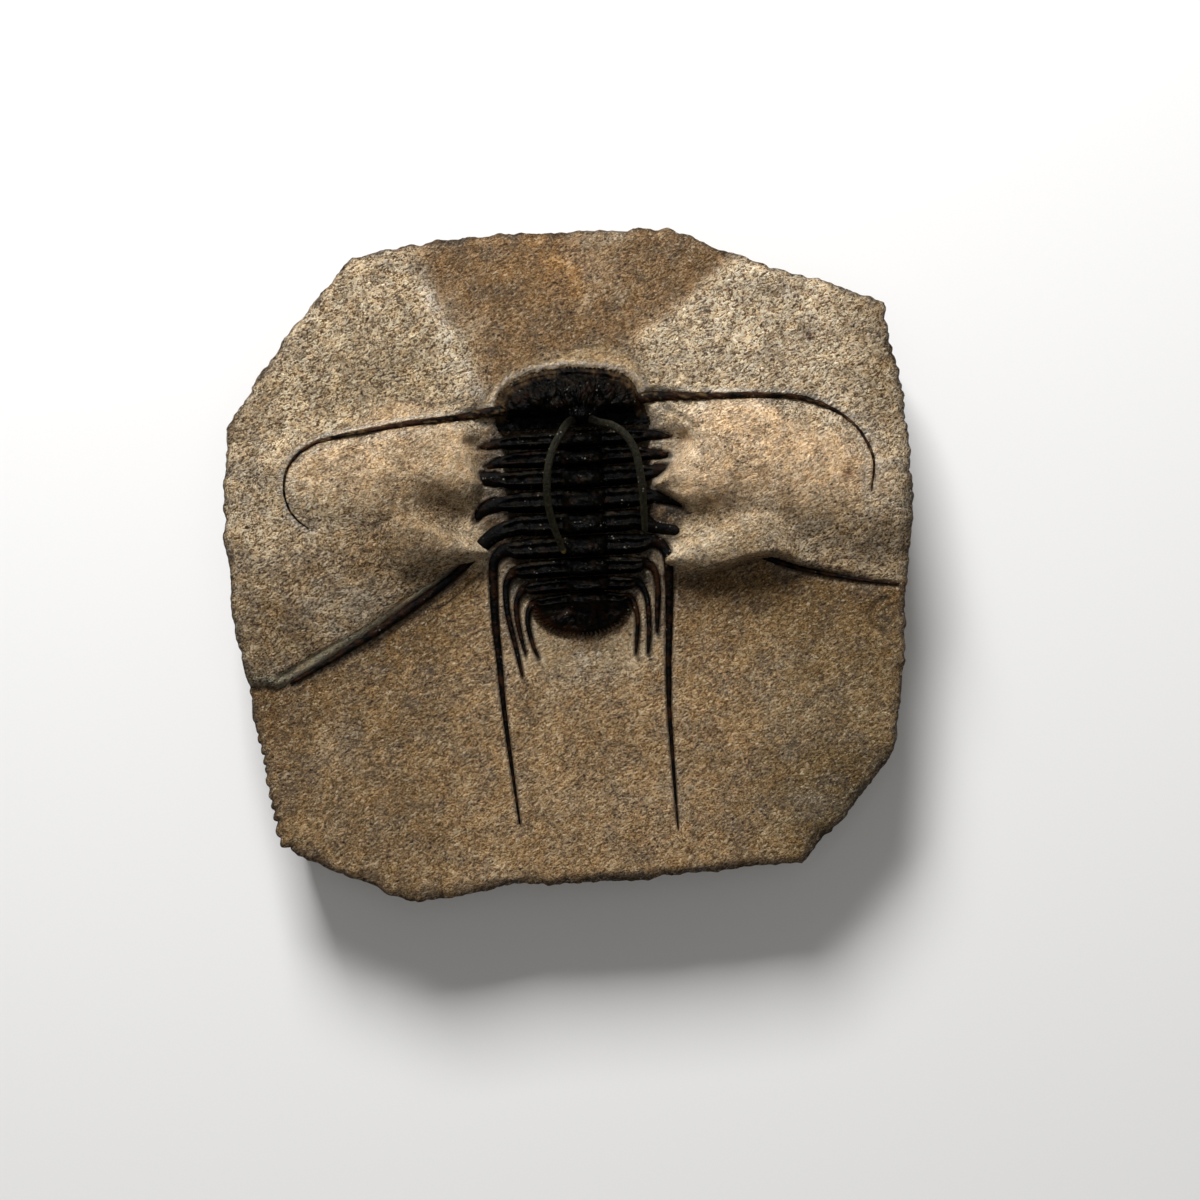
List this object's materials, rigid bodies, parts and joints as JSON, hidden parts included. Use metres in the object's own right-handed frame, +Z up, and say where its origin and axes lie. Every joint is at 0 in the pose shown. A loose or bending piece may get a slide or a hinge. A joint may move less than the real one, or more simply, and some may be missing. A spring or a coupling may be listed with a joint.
{
  "type": "odontopleurid trilobite fossil on matrix",
  "caption": "Spiny black trilobite left in relief on a slab of tan limestone with prepared mounds, long side spines and free horns; lies on its flat underside.",
  "frame": {"origin": "middle of the flat underside, on the surface that the slab lies on", "axes": "+Z up out of the fossil's face, +Y towards the animal's head, +X to the right seen from above with the head up"},
  "size_m": [0.107, 0.1052, 0.0298],
  "materials": {
    "limestone_matrix": "rough, air-scribed limestone with tan and grey stipple",
    "fossil_calcite": "black calcite shell with a dull gloss, brown at its thin edges, olive-grey horns"
  },
  "bodies": {
    "root": {"matrix_slab": "limestone_matrix", "cephalon": "fossil_calcite", "thorax_segment_1": "fossil_calcite", "thorax_segment_2": "fossil_calcite", "thorax_segment_3": "fossil_calcite", "thorax_segment_4": "fossil_calcite", "thorax_segment_5": "fossil_calcite", "thorax_segment_6": "fossil_calcite", "thorax_segment_7": "fossil_calcite", "thorax_segment_8": "fossil_calcite", "thorax_segment_9": "fossil_calcite", "pygidium": "fossil_calcite"}
  },
  "joints": []
}
